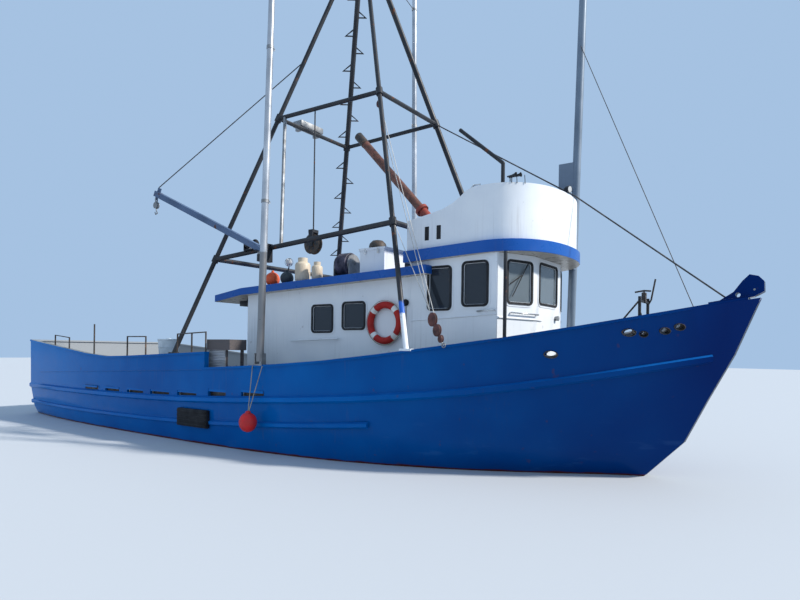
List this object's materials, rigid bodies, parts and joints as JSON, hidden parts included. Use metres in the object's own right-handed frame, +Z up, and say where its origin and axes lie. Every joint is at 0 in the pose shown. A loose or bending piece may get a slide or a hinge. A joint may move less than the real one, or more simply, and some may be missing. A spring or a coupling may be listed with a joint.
{
  "type": "fishing trawler",
  "caption": "Steel fishing trawler with a deckhouse, flying bridge, pipe gantry, cargo boom, outrigger poles, hauling gear, hatch, windlass, rudder and propeller.",
  "frame": {"origin": "on the centreline amidships, at the waterline", "axes": "+X towards the bow, +Y to port, +Z up"},
  "size_m": [17.8857, 5.6666, 16.2511],
  "materials": {
    "hull_blue": "gloss, worn and streaked with rust",
    "trim_blue": "gloss",
    "house_white": "gloss, weathered",
    "pipe_black": "worn black paint",
    "pole_grey": "dull bare metal",
    "steel_grey": "galvanised, dull",
    "boom_grey": "satin blue-grey paint",
    "rusty_steel": "rusted",
    "ring_orange": "coated foam",
    "float_orange": "faded",
    "float_dark": "matt",
    "float_red": "scuffed",
    "bottle_beige": "satin",
    "bronze": "dull bronze",
    "wood": "weathered",
    "black_hose": "matt",
    "seat_black": "worn",
    "tote_white": "scuffed"
  },
  "bodies": {
    "boat": {"hull": "hull_blue", "bulwark_starboard": "hull_blue", "bulwark_port": "hull_blue", "rub_rail_upper": "hull_blue", "rub_rail_lower": "hull_blue", "deckhouse": "house_white", "wheelhouse": "house_white", "deckhouse_roof": "trim_blue", "brow": "trim_blue", "bridge_coaming": "house_white", "helm_console": "wood", "helm_seat": "seat_black", "gantry_leg_starboard_aft": "pipe_black", "gantry_leg_port_aft": "pipe_black", "gantry_leg_starboard_fore": "pipe_black", "gantry_leg_port_fore": "pipe_black", "gantry_upper_frame": "pipe_black", "gantry_lower_frame": "pipe_black", "mast_cap": "pipe_black", "gantry_strut": "steel_grey", "bridge_pipe": "pipe_black", "stanchion_starboard": "pipe_black", "foremast": "pole_grey", "exhaust_stack": "rusty_steel", "boom_bracket": "pipe_black", "cargo_winch_frame": "pipe_black", "hauling_block": "pipe_black", "outrigger_heel_starboard": "steel_grey", "outrigger_heel_port": "steel_grey", "float_orange": "float_orange", "float_dark": "float_dark", "gas_bottle_large": "bottle_beige", "gas_bottle_small": "bottle_beige", "hose_reel_stand": "steel_grey", "roof_locker": "house_white", "life_ring": "ring_orange", "handrail": "house_white", "hatch_coaming": "house_white", "hauling_table": "wood", "fish_totes": "tote_white", "bitt_starboard": "steel_grey", "bitt_port": "steel_grey", "windlass_frame": "hull_blue", "bow_roller_cheeks": "hull_blue", "fender_float": "float_red"},
    "rudder": {"rudder": "hull_blue"},
    "propeller": {"propeller": "bronze"},
    "deckhouse_door": {"deckhouse_door": "house_white"},
    "hatch_cover": {"hatch_cover": "steel_grey"},
    "windlass_drum": {"windlass_drum": "steel_grey"},
    "bow_roller": {"bow_roller": "steel_grey"},
    "gooseneck": {"boom_gooseneck": "steel_grey"},
    "cargo_boom": {"cargo_boom": "boom_grey"},
    "hook_block": {"hook_block": "steel_grey"},
    "cargo_winch_drum": {"cargo_winch_drum": "steel_grey"},
    "hauling_sheave": {"hauling_sheave": "rusty_steel"},
    "outrigger_starboard": {"outrigger_pole_starboard": "pole_grey"},
    "outrigger_port": {"outrigger_pole_port": "pole_grey"},
    "hose_reel_drum": {"hose_reel_drum": "black_hose"}
  },
  "joints": [
    {"name": "rudder_turn", "type": "hinge", "parent": "boat", "child": "rudder", "pos_m": [-8.08, 0, -1.2], "axis": [0, 0, 1], "range_deg": [-35, 35]},
    {"name": "propeller_spin", "type": "hinge", "parent": "boat", "child": "propeller", "pos_m": [-7.33, 0, -1.23], "axis": [1, 0, 0], "continuous": true},
    {"name": "door_swing", "type": "hinge", "parent": "boat", "child": "deckhouse_door", "pos_m": [-0.6205, 0.185, 2], "axis": [0, 0, 1], "range_deg": [0, 100]},
    {"name": "hatch_lift", "type": "hinge", "parent": "boat", "child": "hatch_cover", "pos_m": [-4.75, 0, 1.41], "axis": [0, -1, 0], "range_deg": [0, 100]},
    {"name": "windlass_spin", "type": "hinge", "parent": "boat", "child": "windlass_drum", "pos_m": [7.15, 0, 2.06], "axis": [0, 1, 0], "continuous": true},
    {"name": "bow_roller_spin", "type": "hinge", "parent": "boat", "child": "bow_roller", "pos_m": [8.85, 0, 2.9], "axis": [0, 1, 0], "continuous": true},
    {"name": "boom_slew", "type": "hinge", "parent": "boat", "child": "gooseneck", "pos_m": [0.57, -2.06, 3.815], "axis": [0, 0, 1], "range_deg": [-4, 80]},
    {"name": "boom_luff", "type": "hinge", "parent": "gooseneck", "child": "cargo_boom", "pos_m": [0.57, -2.06, 3.9], "axis": [-0.0767, 0.9971, 0], "range_deg": [-20, 35]},
    {"name": "hook_swing", "type": "hinge", "parent": "cargo_boom", "child": "hook_block", "pos_m": [-2.65566, -2.3082, 5.27795], "axis": [-0.0767, 0.9971, 0], "range_deg": [-45, 60]},
    {"name": "cargo_winch_spin", "type": "hinge", "parent": "boat", "child": "cargo_winch_drum", "pos_m": [0.06, -1.88, 4.07], "axis": [1, 0, 0], "continuous": true},
    {"name": "hauling_sheave_spin", "type": "hinge", "parent": "boat", "child": "hauling_sheave", "pos_m": [1.02805, -1.07983, 4.11], "axis": [0, 1, 0], "continuous": true},
    {"name": "outrigger_starboard_lower", "type": "hinge", "parent": "boat", "child": "outrigger_starboard", "pos_m": [1.12, -2.545, 1.79353], "axis": [1, 0, 0], "range_deg": [0, 48]},
    {"name": "outrigger_port_lower", "type": "hinge", "parent": "boat", "child": "outrigger_port", "pos_m": [1.12, 2.545, 1.79353], "axis": [-1, 0, 0], "range_deg": [0, 48]},
    {"name": "hose_reel_spin", "type": "hinge", "parent": "boat", "child": "hose_reel_drum", "pos_m": [2.01, -1.15, 3.60438], "axis": [1, 0, 0], "continuous": true}
  ]
}
